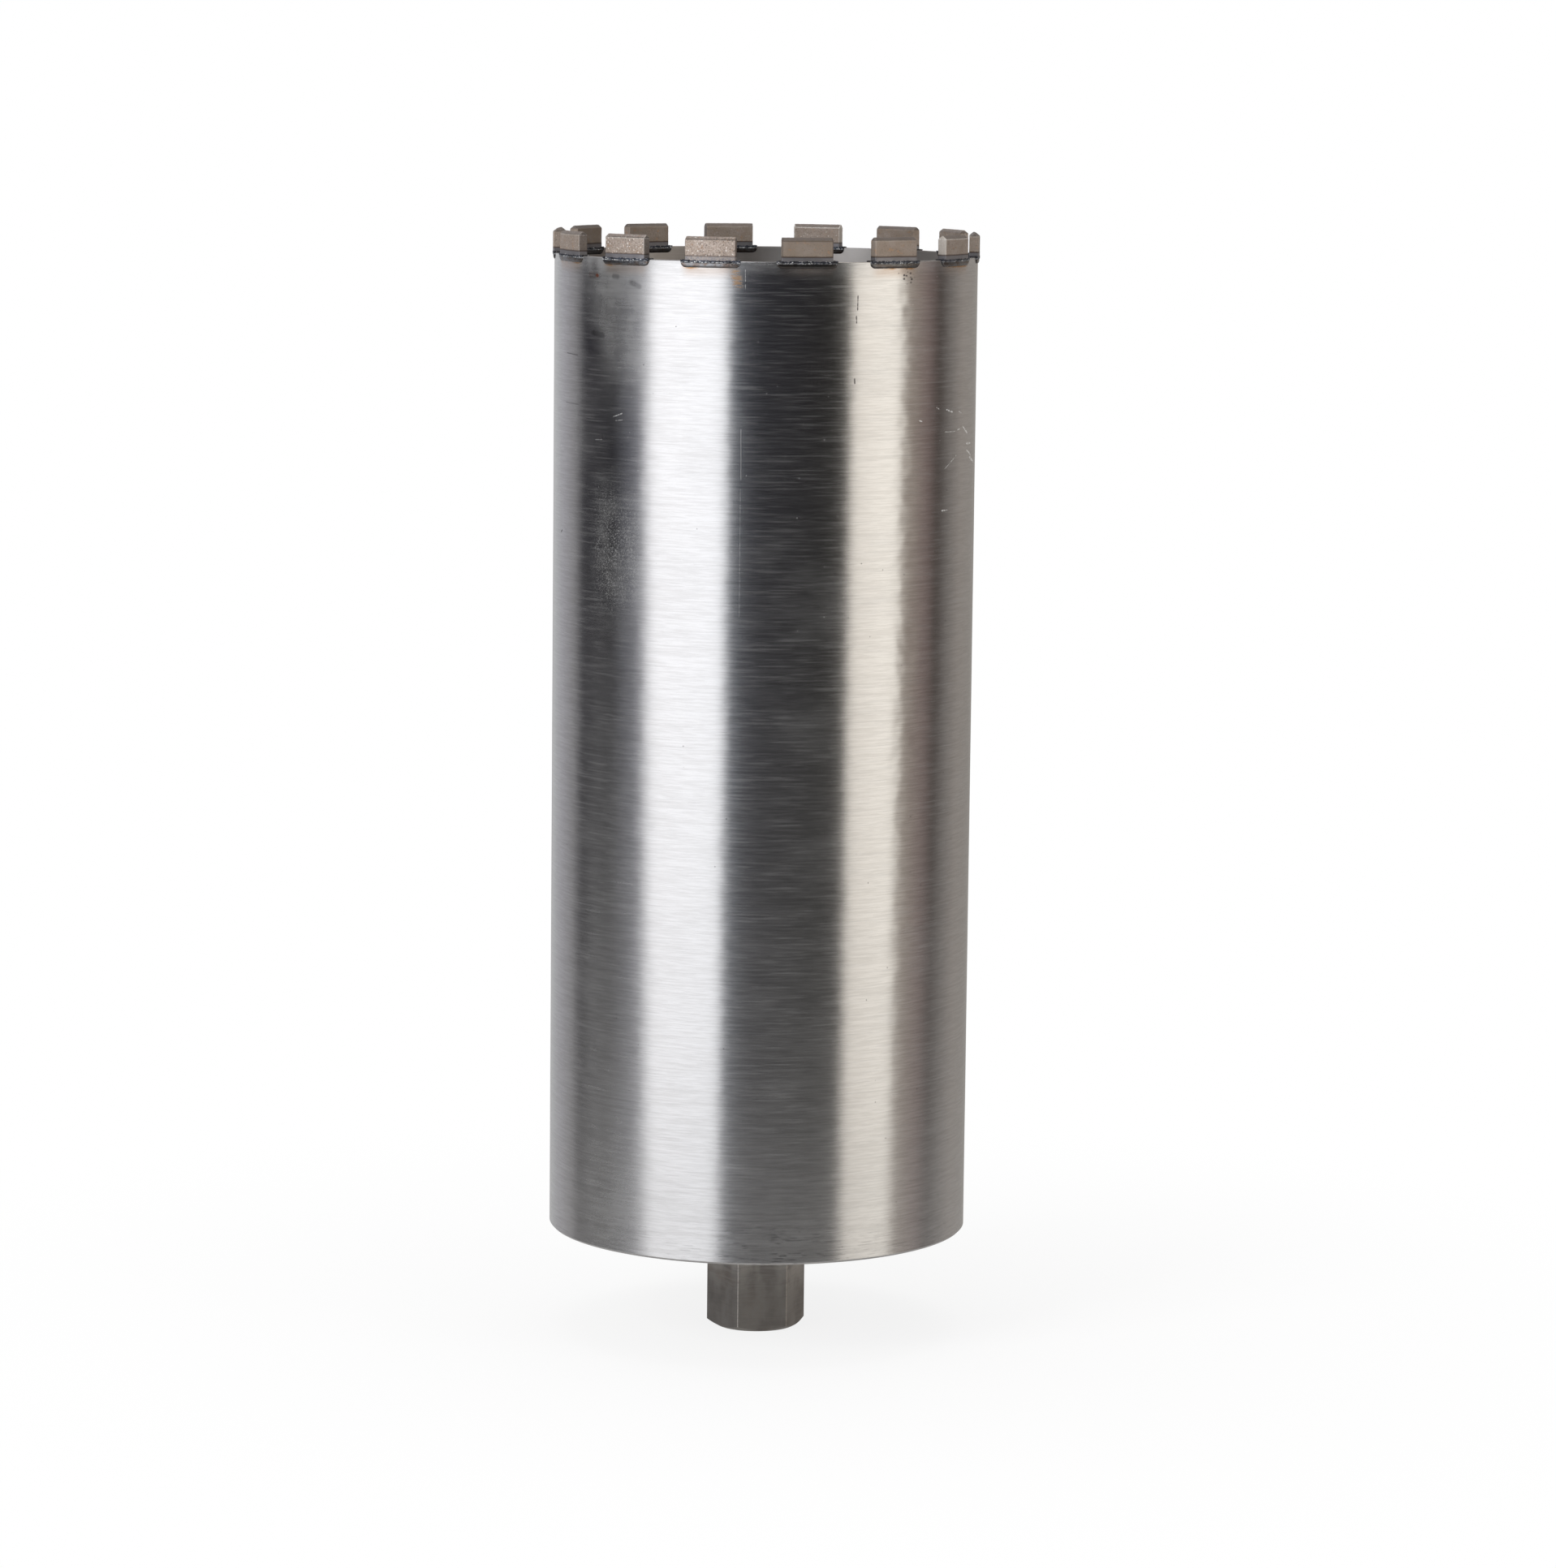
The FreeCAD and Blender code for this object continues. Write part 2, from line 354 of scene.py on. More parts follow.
# Dark stains and thin dirty streaks, rust where the wall has stayed wet, and a red burn.
stains = (
    stroke((-77.0, 503.8), (-74.6, 503.6), 1.7) * 0.40
    + stroke((-91.5, 477.4), (-84.0, 476.6), 1.8) * 0.45
    + stroke((-66.0, 501.2), (-61.5, 499.6), 1.7) * 0.30
    + stroke((-117.0, 466.8), (-105.0, 466.4), 0.35) * 0.6
    + stroke((-118.0, 444.0), (-104.0, 443.7), 0.30) * 0.4
    + stroke((-124.6, 383.1), (-123.0, 384.0), 0.5)
    + stroke((43.1, 497.0), (43.0, 490.5), 0.40) * torn
    + stroke((42.4, 487.7), (42.5, 484.6), 0.40) * torn
    + stroke((41.9, 459.2), (42.0, 457.2), 0.40)
    + stroke((64.0, 509.0), (71.0, 504.6), 4.2) * soot_spots * 0.85
)
smear_streaks = steel.clouds((0.0040, 0.0040, 0.0008), start=(3, 1, 1), detail=3).rise(0.38, 0.62)
smear = stroke((-13.6, 506.2), (-12.6, 501.8), 3.4) * smear_streaks * 0.75
burn = stroke((-89.0, 503.7), (-88.2, 503.6), 1.1)
burn_haze = stroke((-94.0, 503.9), (-89.0, 503.9), 2.2) * 0.35

# Heat has tinted the steel just below each braze collar, from straw to brown.
segment_count = 14
pitch_angle = 2 * math.pi / segment_count
first_segment_angle = math.radians(-2)
turn = steel.calculate("ARCTAN2", steel.y, steel.x) * (1 / pitch_angle)
from_segment = (turn - first_segment_angle / pitch_angle + 0.5).math("FRACT") - 0.5
collar_near = from_segment.math("ABSOLUTE").rise(0.34, 0.20)
tint_patch = steel.clouds((0.014, 0.014, 0.010), start=(8, 3, 3), detail=3)
tint_line = steel.z.bump_at(rim_z - 0.0031, 0.0009) * tint_patch.rise(0.44, 0.62)
tint_haze = steel.z.bump_at(rim_z - 0.0040, 0.0050) * (0.12 + tint_patch * 0.4)
heat_tint = collar_near * (tint_line * 0.8 + tint_haze).limited()

clean_steel = (0.655, 0.65, 0.645)
worn_steel = (0.573, 0.566, 0.558)
film_colour = (0.285, 0.288, 0.295)
glint_white = (0.90, 0.90, 0.88)
straw_brown = (0.42, 0.25, 0.13)
rust = (0.46, 0.25, 0.10)
burn_red = (0.13, 0.048, 0.030)
dirt = (0.06, 0.055, 0.06)
colour = steel.mixed(brushing.rise(0.38, 0.62), worn_steel, clean_steel)
colour = steel.mixed(film.limited(), colour, film_colour)
colour = steel.mixed(heat_tint, colour, straw_brown)
colour = steel.mixed(smear.limited(), colour, rust)
colour = steel.mixed((burn + burn_haze).limited(), colour, burn_red)
colour = steel.mixed(scratch_glints, colour, glint_white)
colour = steel.mixed((pits + stains + dashes).limited(), colour, dirt)
steel.set("Base Color", colour)
dullness = (film + heat_tint * 0.1 + smear * 0.35 + scratch_glints * 0.7 + burn * 0.5).limited()
steel.set("Metallic", 1 - dullness * 0.85)
steel.set("Roughness", 0.175 + brushing * 0.09 + dullness * 0.3)
steel.relief(dents, 0.00008)
steel.relief((dents - 0.5) * arc.bump_at(0.070, 0.018) * steel.z.rise(0.08, 0.38), 0.00020)
steel.relief(brushing - pits * 0.6, 0.000008)

bore_skin = Finish("barrel_bore_skin", Metallic=0.9)
bore_skin.brushed_round(0.5)
bore_lines = bore_skin.clouds((0.05, 0.05, 0.0008), detail=3)
bore_patches = bore_skin.clouds((0.03, 0.03, 0.05), start=(3, 3, 3), detail=4)
bore_colour = bore_skin.mixed(bore_patches.rise(0.35, 0.7), (0.58, 0.56, 0.54), (0.42, 0.385, 0.36))
bore_shine = bore_lines.rise(0.5, 0.8) * 0.5
bore_skin.set("Base Color", bore_skin.mixed(bore_shine, bore_colour, (0.6, 0.58, 0.56)))
bore_skin.set("Roughness", 0.32 + bore_patches * 0.2)
bore_skin.relief(bore_lines, 0.00002)

outer_rows = rows_between(foot_z + foot_chamfer, rim_z - rim_break, wall_row_height)
inner_rows = rows_between(rim_z - rim_break, foot_z, wall_row_height * 8)
barrel_outline = [(barrel_radius - foot_chamfer, foot_z)]
barrel_outline += [(barrel_radius, z) for z in outer_rows]
barrel_outline += [(barrel_radius - rim_break, rim_z), (barrel_bore + rim_break, rim_z)]
barrel_outline += [(barrel_bore, z) for z in inner_rows]
barrel_mesh = turned_bmesh(barrel_outline, barrel_steps)
for face in barrel_mesh.faces:
    middle = face.calc_center_median()
    face.material_index = 1 if middle.xy.length < barrel_bore + rim_break else 0
for vert in barrel_mesh.verts:
    if vert.co.xy.length > barrel_radius - rim_break / 2:
        out = Vector((vert.co.x, vert.co.y, 0)).normalized()
        vert.co += out * (noise.noise(vert.co / wave_length) - 1) * wall_waviness
barrel = new_piece("barrel_tube", barrel_mesh, [steel, bore_skin])
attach(barrel, "root")
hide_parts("barrel")

# Back plate: a thick steel disc, turned to fit the barrel's foot and bored for the hub.
# It lies a little inside the foot, which leaves a corner for the weld, and its face shows
# the tool's fine rings, dulled by the heat of the two welds.
plate_low, plate_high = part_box("back_plate")
plate_radius = plate_high.x
plate_break = 0.0006
spigot_radius = 0.018
plate_hole = spigot_radius + 0.0001
plate_under = plate_low.z
plate_top = plate_high.z
plate_steps = 192
face_row_width = 0.012

plate_steel = Finish("turned_plate_steel", Metallic=0.95)
plate_steel.brushed_round(0.75)
from_axis = plate_steel.vectors("LENGTH", plate_steel.joined(plate_steel.x, plate_steel.y, 0), output=1)
tool_rings = plate_steel.clouds((0.0014, 1, 1), detail=3, place=plate_steel.joined(from_axis, 0, 0))
plate_stains = plate_steel.clouds((0.03, 0.03, 0.03), detail=4, roughness=0.5)
weld_heat = (from_axis.bump_at(0.034, 0.014) + from_axis.bump_at(plate_radius, 0.012)) * plate_stains
plate_colour = plate_steel.mixed(plate_stains.rise(0.35, 0.7), (0.44, 0.43, 0.42), (0.34, 0.325, 0.31))
plate_colour = plate_steel.mixed((weld_heat * 1.2).limited(), plate_colour, (0.16, 0.12, 0.11))
ring_shine = tool_rings.rise(0.40, 0.66) * 0.45
plate_steel.set("Base Color", plate_steel.mixed(ring_shine, plate_colour, (0.62, 0.61, 0.60)))
plate_steel.set("Roughness", 0.30 + plate_stains * 0.2)
plate_steel.relief(tool_rings, 0.00006)

face_rows = rows_between(plate_hole + plate_break, plate_radius - plate_break, face_row_width)
plate_outline = [(radius, plate_top) for radius in face_rows]
plate_outline += [(plate_radius, plate_top - plate_break), (plate_radius, plate_under)]
plate_outline += [(radius, plate_under) for radius in reversed(face_rows)]
plate_outline += [(plate_hole, plate_under), (plate_hole, plate_top - plate_break)]
plate = new_piece("back_plate_disc", turned_bmesh(plate_outline, plate_steps), [plate_steel])
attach(plate, "root")
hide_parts("back_plate")

# Hub: hexagon bar, turned down to a spigot for the plate, chamfered at the end face, then
# bored and tapped right through for the drill's spindle. It is bare steel that has gone
# brown-grey, with faint cutter marks on its flats and knocked corners. The corners and a band
# high on each flat carry a painted highlight.
across_flats = 0.041
corner_round = 0.0008
hub_turn = math.radians(9)
face_radius = across_flats / 2 - 0.0015
chamfer_slope = math.tan(math.radians(30))
spigot_break = 0.0008
hub_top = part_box("hub")[1].z
chamfer_mark = 0.001
thread_pitch = 0.0254 / 7
thread_major = 0.03175 / 2
thread_minor = 0.0141
mouth_radius = 0.0162
root_flat = thread_pitch / 8
thread_flank = (thread_major - thread_minor) * math.tan(math.radians(30))
crest_flat = thread_pitch - root_flat - 2 * thread_flank
lead_out = 0.0006
thread_steps = 72
hub_steps = 720


def hexagon_radius(angle):
    """How far the hexagon's side is from the axis at an angle, its corners rounded."""
    corner = math.radians(60)
    off = abs((angle - hub_turn + corner / 2) % corner - corner / 2)
    round_centre = (across_flats / 2 - corner_round) / math.cos(corner / 2)
    round_ends = math.atan2(
        corner_round * math.sin(corner / 2), round_centre + corner_round * math.cos(corner / 2)
    )
    if off < round_ends:
        sideways = round_centre * math.sin(off)
        return round_centre * math.cos(off) + math.sqrt(corner_round**2 - sideways**2)
    return across_flats / 2 / math.cos(corner / 2 - off)


def ring_edges(bm, z):
    """The open edges that lie at one height."""
    return [e for e in bm.edges if e.is_boundary and all(abs(v.co.z - z) < 1e-7 for v in e.verts)]


hub_steel = Finish("browned_hub_steel")
hub_angle = hub_steel.calculate("ARCTAN2", hub_steel.y, hub_steel.x)
hub_side = ((hub_angle - hub_turn) * (3 / math.pi) + 0.5).math("FRACT") - 0.5
hub_corner = hub_side.math("ABSOLUTE")
# A painted highlight: a lighter band high up on each flat, a little to one side of its middle.
flat_highlight_band = hub_side.bump_at(-0.10, 0.17) * hub_steel.z.rise(0.014, 0.034)
hub_out = hub_steel.vectors("LENGTH", hub_steel.joined(hub_steel.x, hub_steel.y, 0), output=1)
corner_wear_and_highlight = hub_corner.rise(0.009, 0.003) * hub_out.rise(0.0222, 0.0226)
hub_stains = hub_steel.clouds((0.010, 0.010, 0.018), start=(2, 2, 7), detail=3, roughness=0.5)
hub_brown = hub_steel.clouds((0.013, 0.013, 0.010), start=(5, 8, 1), detail=3).rise(0.5, 0.72)
# The cutter marks bow a little on each flat.
hub_drop = hub_steel.z - (hub_angle * 3).math("SINE").math("ABSOLUTE") * 0.0008
cutter_place = hub_steel.joined(hub_steel.x, hub_steel.y, hub_drop)
cutter_marks = hub_steel.clouds((0.012, 0.012, 0.0009), start=(1, 1, 4), detail=3, place=cutter_place)
hub_colour = hub_steel.mixed(hub_stains.rise(0.38, 0.64), (0.66, 0.63, 0.592), (0.350, 0.328, 0.313))
hub_colour = hub_steel.mixed(hub_brown * 0.5, hub_colour, (0.24, 0.17, 0.12))
hub_colour = hub_steel.mixed(flat_highlight_band * 0.55, hub_colour, (0.70, 0.675, 0.65))
hub_colour = hub_steel.mixed(cutter_marks.rise(0.48, 0.62) * 0.4, hub_colour, (0.56, 0.525, 0.48))
hub_colour = hub_steel.mixed(cutter_marks.rise(0.50, 0.36) * 0.2, hub_colour, (0.22, 0.20, 0.185))
hub_colour = hub_steel.mixed(hub_steel.z.rise(0.046, 0.012) * 0.74, hub_colour, (0.20, 0.185, 0.17))
# The knocked corners are lighter: real wear, with a painted highlight along them.
worn_corner_and_highlight = corner_wear_and_highlight * cutter_marks.rise(0.34, 0.56) * 0.38
hub_colour = hub_steel.mixed(worn_corner_and_highlight, hub_colour, (0.62, 0.57, 0.51))
hub_steel.set("Base Color", hub_colour)
hub_steel.set("Metallic", 0.85 - hub_brown * 0.3)
hub_steel.set("Roughness", 0.42 + hub_stains * 0.15)
hub_steel.relief(cutter_marks, 0.00004)

tapped = Finish("tapped_bore_steel", Metallic=1.0, Roughness=0.3)
tapped_shade = tapped.clouds((0.006, 0.006, 0.003), detail=4)
tapped.set("Base Color", tapped.mixed(tapped_shade, (0.42, 0.40, 0.37), (0.30, 0.28, 0.25)))
tapped.relief(tapped.clouds((0.012, 0.012, 0.0003), detail=2), 0.00001)

# The tapped wall: one pitch of the thread, wound up the bore, trimmed to the hub's two ends
# and opened there so that a spindle starts easily.
flank_third = thread_flank / 3
depth_third = (thread_major - thread_minor) / 3
thread_shape = [(thread_minor, 0), (thread_minor, crest_flat)]
thread_shape += [(thread_minor + depth_third * i, crest_flat + flank_third * i) for i in (1, 2, 3)]
thread_shape += [
    (thread_major - depth_third * i, crest_flat + thread_flank + root_flat + flank_third * i)
    for i in (0, 1, 2, 3)
]
thread_mesh = bmesh.new()
thread_points = [thread_mesh.verts.new((radius, 0, z - thread_pitch)) for radius, z in thread_shape]
thread_edges = [thread_mesh.edges.new(pair) for pair in zip(thread_points, thread_points[1:])]
bmesh.ops.spin(
    thread_mesh,
    geom=thread_points + thread_edges,
    cent=(0, 0, 0),
    axis=(0, 0, 1),
    dvec=(0, 0, thread_pitch / thread_steps),
    angle=2 * math.pi,
    steps=thread_steps,
)
for turns in (1, 2, 4, 8, 16):
    doubled(thread_mesh, Matrix.Translation((0, 0, thread_pitch * turns)))
for end_z, outward in ((0, -1), (hub_top, 1)):
    bmesh.ops.bisect_plane(
        thread_mesh,
        geom=thread_mesh.verts[:] + thread_mesh.edges[:] + thread_mesh.faces[:],
        plane_co=(0, 0, end_z),
        plane_no=(0, 0, outward),
        clear_outer=True,
    )
for vert in thread_mesh.verts:
    radius = vert.co.xy.length
    opened = max(radius, mouth_radius - vert.co.z, thread_minor + lead_out - (hub_top - vert.co.z))
    vert.co.x *= opened / radius
    vert.co.y *= opened / radius
for face in thread_mesh.faces:
    face.material_index = 1

# The hexagon and its spigot, from the end face up to the spigot's top.
side_mark = across_flats / 2
hub_outline = [
    (face_radius, 0),
    (side_mark, chamfer_mark),
    (side_mark, plate_under),
    (spigot_radius, plate_under),
    (spigot_radius, hub_top - spigot_break),
    (spigot_radius - spigot_break, hub_top),
]
hub_mesh = turned_bmesh(hub_outline, hub_steps, closed=False)
for vert in hub_mesh.verts:
    radius = vert.co.xy.length
    if abs(radius - side_mark) < 1e-6 and vert.co.z <= plate_under + 1e-6:
        side = hexagon_radius(math.atan2(vert.co.y, vert.co.x))
        vert.co.x *= side / radius
        vert.co.y *= side / radius
        if vert.co.z < plate_under / 2:
            vert.co.z = (side - face_radius) * chamfer_slope
thread_skin = bpy.data.meshes.new("thread_skin")
thread_mesh.to_mesh(thread_skin)
thread_mesh.free()
hub_mesh.from_mesh(thread_skin)
bpy.data.meshes.remove(thread_skin)
for end_z in (0, hub_top):
    bmesh.ops.triangle_fill(hub_mesh, use_beauty=True, edges=ring_edges(hub_mesh, end_z))
bmesh.ops.recalc_face_normals(hub_mesh, faces=hub_mesh.faces)
hub = new_piece("hexagon_hub", hub_mesh, [hub_steel, tapped], sharp_degrees=25)
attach(hub, "root")
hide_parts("hub")

# Welds: one bead round the hexagon under the plate and one in the corner between the plate
# and the barrel. Both are run by hand with a torch, so each is a row of overlapping
# crescents, blue-brown from the heat, and they are left as welded.
hub_weld_low, hub_weld_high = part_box("hub_weld")
weld_toe = hub_weld_high.x
weld_foot = hub_weld_low.z
weld_bulge = 0.0006
foot_weld_leg = 0.0026
crescent = 0.0026
crescent_depth = 0.00026
crescent_bow = 0.35
crescent_step = 1.6
least_sink = 0.9
lumps_per_metre = 260
faded_edge = 0.0006
weld_rows = 12
weld_steps = 1080

weld_metal = Finish("blued_weld_metal", Metallic=0.9)
weld_bloom = weld_metal.clouds((0.012, 0.012, 0.010), detail=2)
weld_soot = weld_metal.clouds((0.0022, 0.0022, 0.0022), start=(2, 5, 1), detail=3).rise(0.50, 0.72)
weld_colour = weld_metal.mixed(weld_bloom.rise(0.35, 0.65), (0.29, 0.28, 0.275), (0.215, 0.175, 0.145))
weld_metal.set("Base Color", weld_metal.mixed(weld_soot * 0.25, weld_colour, (0.075, 0.068, 0.062)))
weld_metal.set("Roughness", 0.30 + weld_soot * 0.25)
weld_metal.relief(weld_metal.clouds((0.0005, 0.0005, 0.0005), detail=3), 0.00005)


def weld_bead(name, node, toe, foot, root, bulge):
    """A ring of weld whose face runs from toe to foot, both (radius, height), rippled along its length."""
    outline = []
    for i in range(weld_rows + 1):
        share = i / weld_rows
        radius = toe[0] + (foot[0] - toe[0]) * share
        z = toe[1] + (foot[1] - toe[1]) * share
        proud = bulge * 4 * share * (1 - share)
        outward = Vector((toe[1] - foot[1], foot[0] - toe[0])).normalized()
        if outward.dot(Vector((toe[0] - root[0], foot[1] - root[1]))) < 0:
            outward = -outward
        outline.append((radius + outward.x * proud, z + outward.y * proud))
    outline.append(root)
    bm = turned_bmesh(outline, weld_steps)
    middle = Vector(((toe[0] + foot[0]) / 2, (toe[1] + foot[1]) / 2))
    length = 2 * math.pi * middle.x
    crescents = round(length / crescent)
    for vert in bm.verts:
        radius = vert.co.xy.length
        spot = Vector((radius, vert.co.z))
        if (spot - Vector(root)).length < 1e-6:
            continue
        along = math.atan2(vert.co.y, vert.co.x) / (2 * math.pi) * crescents
        bow = ((spot - middle).length / crescent) ** 2 * crescent_bow
        step = (along + bow) % 1.0
        lump = noise.noise(vert.co * lumps_per_metre) * 0.4
        sink = crescent_depth * (least_sink + step * crescent_step + lump)
        edge = min((spot - Vector(toe)).length, (spot - Vector(foot)).length)
        sink *= min(1.0, edge / faded_edge)
        inward = (Vector(root) - spot).normalized() * sink
        vert.co.x *= (radius + inward.x) / radius
        vert.co.y *= (radius + inward.x) / radius
        vert.co.z += inward.y
    piece = new_piece(name, bm, [weld_metal], sharp_degrees=50)
    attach(piece, "root")
    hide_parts(node)


weld_bead(
    "hub_weld_bead",
    "hub_weld",
    toe=(weld_toe, plate_under),
    foot=(spigot_radius, weld_foot),
    root=(spigot_radius, plate_under),
    bulge=weld_bulge,
)
weld_bead(
    "foot_weld_bead",
    "foot_weld",
    toe=(barrel_bore - foot_weld_leg, plate_under),
    foot=(barrel_bore, plate_under - foot_weld_leg),
    root=(barrel_bore, plate_under),
    bulge=0,
)

# Cutting segments: diamond grit and metal powder, pressed to a curved block with a roof
# along its top and sintered. The lowest layer has no grit, so that the braze takes to it,
# and shows as a smooth grey band. The working layer is sandy, tan and sharp to the touch.
segment_radius = 0.1
segment_thickness = 0.0044
segment_length = 0.024
ridge_width = 0.0005
roof_slope = math.tan(math.radians(38))
ridge_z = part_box("segment_01")[1].z
base_layer = 0.0022
segment_voxel = 0.00026
grit_depth = 0.00006
grit_size = 0.00050

segment_inner = segment_radius - segment_thickness
segment_middle = (segment_radius + segment_inner) / 2
eaves_z = ridge_z - (segment_thickness - ridge_width) / 2 * roof_slope
segment_outline = [
    (segment_inner, rim_z),
    (segment_radius, rim_z),
    (segment_radius, eaves_z),
    (segment_middle + ridge_width / 2, ridge_z),
    (segment_middle - ridge_width / 2, ridge_z),
    (segment_inner, eaves_z),
]

matrix = Finish("sintered_segment_matrix")
segment_turn = matrix.calculate("ARCTAN2", matrix.y, matrix.x) * (1 / pitch_angle)
off_centre = (segment_turn - first_segment_angle / pitch_angle + 0.5).math("FRACT") - 0.5
to_end = segment_length / 2 - off_centre.math("ABSOLUTE") * (pitch_angle * segment_radius)
sand = matrix.clouds((0.00062, 0.00062, 0.00062), detail=3, roughness=0.7)
patches = matrix.clouds((0.007, 0.007, 0.005), start=(4, 1, 9), detail=3)
looks = matrix.nodes.new("ShaderNodeSeparateColor")
matrix.links.new(matrix.nodes.new("ShaderNodeObjectInfo").outputs["Color"], looks.inputs[0])
coarse = Field(matrix, looks.outputs[0])
edge_highlight = Field(matrix, looks.outputs[1])
end_left_unshaded = Field(matrix, looks.outputs[2])
rust_spots = matrix.clouds((0.0022, 0.0022, 0.0018), start=(9, 3, 1), detail=3).rise(0.60, 0.72)
wavy_joint = matrix.z - (patches - 0.5) * 0.0005
above_base = wavy_joint.rise(rim_z + base_layer - 0.0001, rim_z + base_layer + 0.00015)
joint_line = wavy_joint.bump_at(rim_z + base_layer + 0.0001, 0.00060)
on_roof = matrix.z.rise(eaves_z + 0.0001, eaves_z + 0.0003)
eaves_shade = matrix.z.bump_at(eaves_z + 0.00020, 0.00042) * sand.rise(0.66, 0.48)
on_end = to_end.rise(0.00034, 0.00018)
shaded_end = on_end * off_centre.rise(0, 0.1)
lit_end = on_end * off_centre.rise(0, -0.1)
end_arris = to_end.bump_at(0.00035, 0.00045) * above_base
arris = (matrix.z.bump_at(eaves_z - 0.00015, 0.00045) + end_arris).limited()
grit_shape, grit_lottery = matrix.grains((0.0010, 0.0010, 0.0010))
bright_grit = grit_lottery.rise(0.72, 0.80) * grit_shape.rise(0.45, 0.20) * coarse.rise(0.10, 0.90)
dark_hollow = matrix.grains((0.0013, 0.0013, 0.0013), start=(3, 3, 3))[0].rise(0.36, 0.14)
tan_coarse = matrix.mixed(patches.rise(0.3, 0.7), (0.56, 0.475, 0.42), (0.47, 0.385, 0.325))
tan_smooth = matrix.mixed(patches.rise(0.3, 0.7), (0.310, 0.258, 0.217), (0.272, 0.217, 0.171))
tan = matrix.mixed(coarse, tan_smooth, tan_coarse)
tan = matrix.mixed(sand.rise(0.40, 0.62) * (0.10 + coarse * 0.50), tan, (0.20, 0.155, 0.125))
tan = matrix.mixed(rust_spots * 0.45, tan, (0.44, 0.24, 0.12))
tan = matrix.mixed(dark_hollow * (0.15 + coarse * 0.45), tan, (0.10, 0.08, 0.07))
tan = matrix.mixed(bright_grit * 0.85, tan, (0.88, 0.83, 0.78))
# Painted shade: the roof is darkened, less on coarse segments, and a dark line runs along the eaves.
tan = matrix.mixed(on_roof * (0.76 - coarse * 0.50), tan, (0.125, 0.112, 0.108))
tan = matrix.mixed(eaves_shade * (0.30 + coarse * 0.65), tan, (0.06, 0.05, 0.04))
# Painted shade on one end face of each segment, and painted light on the other end where the edges are
# brightest.
tan = matrix.mixed(shaded_end * (0.72 - end_left_unshaded * 0.72), tan, (0.10, 0.082, 0.072))
tan = matrix.mixed(lit_end * edge_highlight.rise(0.85, 1), tan, (0.50, 0.45, 0.40))
# Painted shade along the dull edges and a painted highlight along the bright ones.
tan = matrix.mixed(arris * edge_highlight.rise(0.5, 0) * 0.75, tan, (0.085, 0.065, 0.055))
tan = matrix.mixed(arris * edge_highlight.rise(0.3, 1) * sand.rise(0.38, 0.52) * 0.85, tan, (0.68, 0.64, 0.60))
base_metal = matrix.mixed(patches.rise(0.3, 0.7), (0.33, 0.32, 0.335), (0.25, 0.24, 0.25))
base_metal = matrix.mixed((1 - coarse) * 0.35, base_metal, (0.15, 0.145, 0.145))
base_metal = matrix.mixed(coarse.rise(0.85, 1) * sand.rise(0.4, 0.6), base_metal, (0.46, 0.40, 0.36))
segment_colour = matrix.mixed(above_base, base_metal, tan)
joint_shade = joint_line * (0.95 - coarse * 0.35)
matrix.set("Base Color", matrix.mixed(joint_shade, segment_colour, (0.075, 0.05, 0.04)))
matrix.set("Metallic", 0.80 - above_base * 0.30)
matrix.set("Roughness", 0.52 - above_base * 0.04)
matrix.relief(sand * above_base + bright_grit * above_base * 0.5, 0.00018)


def curved_block(outline, length, steps=24):
    """A closed block that a loop of (radius, height) points sweeps along an arc centred on +X."""
    bm = bmesh.new()
    sweep = length / segment_radius
    points = [bm.verts.new((radius, 0, z)) for radius, z in outline]
    edges = [bm.edges.new(pair) for pair in zip(points, points[1:] + points[:1])]
    bmesh.ops.rotate(bm, cent=(0, 0, 0), matrix=Matrix.Rotation(-sweep / 2, 3, "Z"), verts=points)
    bmesh.ops.spin(
        bm, geom=points + edges, cent=(0, 0, 0), axis=(0, 0, 1), angle=sweep, steps=steps
    )
    bmesh.ops.holes_fill(bm, edges=[e for e in bm.edges if e.is_boundary])
    bmesh.ops.recalc_face_normals(bm, faces=bm.faces)
    return bm


def fine_skin(bm, voxel, smoothing):
    """The same block in small even faces, its edges softened."""
    mesh = bpy.data.meshes.new("blank")
    bm.to_mesh(mesh)
    bm.free()
    blank = bpy.data.objects.new("blank", mesh)
    bpy.context.scene.collection.objects.link(blank)
    remesh = blank.modifiers.new("skin", "REMESH")
    remesh.mode = "VOXEL"
    remesh.voxel_size = voxel
    depsgraph = bpy.context.evaluated_depsgraph_get()
    fine = bmesh.new()
    fine.from_object(blank, depsgraph)
    bpy.data.objects.remove(blank)
    bpy.data.meshes.remove(mesh)
    for _ in range(smoothing):
        bmesh.ops.smooth_vert(
            fine, verts=fine.verts, factor=0.5, use_axis_x=True, use_axis_y=True, use_axis_z=True
        )
    return fine


def set_round(master, number):
    """A copy of a piece made on +X, turned to its place round the rim."""
    bm = master.copy()
    angle = first_segment_angle + pitch_angle * number
    bmesh.ops.rotate(bm, cent=(0, 0, 0), matrix=Matrix.Rotation(angle, 3, "Z"), verts=bm.verts)
    bm.normal_update()
    return bm
